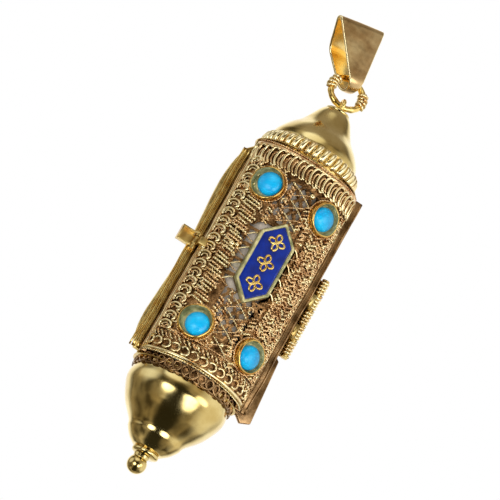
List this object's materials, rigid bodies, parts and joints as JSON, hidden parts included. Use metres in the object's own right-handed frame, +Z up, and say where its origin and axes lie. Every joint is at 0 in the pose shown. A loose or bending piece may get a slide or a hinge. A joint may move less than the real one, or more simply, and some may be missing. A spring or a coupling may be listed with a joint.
{
  "type": "mezuzah case pendant",
  "caption": "Gold pendant case with domed ends, a hinged filigree door set with cabochons and an enamel plaque, a side latch, a rolled parchment inside, and a ring and bail on top.",
  "frame": {"origin": "centre of the hanging eye on top of the case's neck", "axes": "+Z up along the case towards the bail, -Y out of the front with the door, +X to the right of someone who looks at the front"},
  "size_m": [0.0163, 0.0114, 0.0545],
  "materials": {
    "gold_polished": "polished yellow gold",
    "gold_wirework": "twisted gold wire with dark recesses",
    "gold_bezel": "satin gold",
    "turquoise": "polished opaque cabochon",
    "enamel_blue": "glossy fired enamel",
    "parchment": "matt parchment",
    "linen_tie": "plain ribbon"
  },
  "bodies": {
    "case": {"back_shell": "gold_polished", "case_knuckles": "gold_polished", "finial_ball": "gold_polished", "finial_collar": "gold_polished", "hang_eye": "gold_polished", "hinge_pin": "gold_polished", "latch_lugs": "gold_polished", "latch_pin": "gold_polished", "left_flange": "gold_polished", "lower_dome": "gold_polished", "lower_end_plate": "gold_polished", "lower_loop_trim": "gold_wirework", "neck_collar": "gold_polished", "parchment_scroll": "parchment", "right_flange": "gold_polished", "scroll_tie": "linen_tie", "upper_coil_trim": "gold_wirework", "upper_dome": "gold_polished", "upper_end_plate": "gold_polished"},
    "door": {"bezel_lower_left": "gold_bezel", "bezel_lower_right": "gold_bezel", "bezel_upper_left": "gold_bezel", "bezel_upper_right": "gold_bezel", "door_bottom_rim": "gold_wirework", "door_catch": "gold_polished", "door_filigree": "gold_wirework", "door_knuckles": "gold_polished", "door_left_rail": "gold_polished", "door_right_rail": "gold_polished", "door_top_rim": "gold_wirework", "plaque_enamel": "enamel_blue", "plaque_ornament_bottom": "gold_polished", "plaque_ornament_middle": "gold_polished", "plaque_ornament_top": "gold_polished", "plaque_tray": "gold_polished", "turquoise_lower_left": "turquoise", "turquoise_lower_right": "turquoise", "turquoise_upper_left": "turquoise", "turquoise_upper_right": "turquoise"},
    "latch": {"latch_leaf": "gold_polished"},
    "ring": {"jump_ring": "gold_polished"},
    "bail": {"bail": "gold_polished"}
  },
  "joints": [
    {"name": "door_hinge", "type": "hinge", "parent": "case", "child": "door", "pos_m": [0.00735, -0.00093, -0.0215], "axis": [0, 0, 1], "range_deg": [0, 120]},
    {"name": "latch_hinge", "type": "hinge", "parent": "case", "child": "latch", "pos_m": [-0.0065, -0.0013, -0.0209], "axis": [0, 0, 1], "range_deg": [0, 90]},
    {"name": "ring_swing", "type": "hinge", "parent": "case", "child": "ring", "pos_m": [0, 0, 0], "axis": [1, 0, 0], "range_deg": [-40, 80]},
    {"name": "bail_swing", "type": "hinge", "parent": "ring", "child": "bail", "pos_m": [-0.00029, 0.00126, 0.00346], "axis": [0.9036, 0.3105, 0.2952], "range_deg": [-70, 15]}
  ]
}
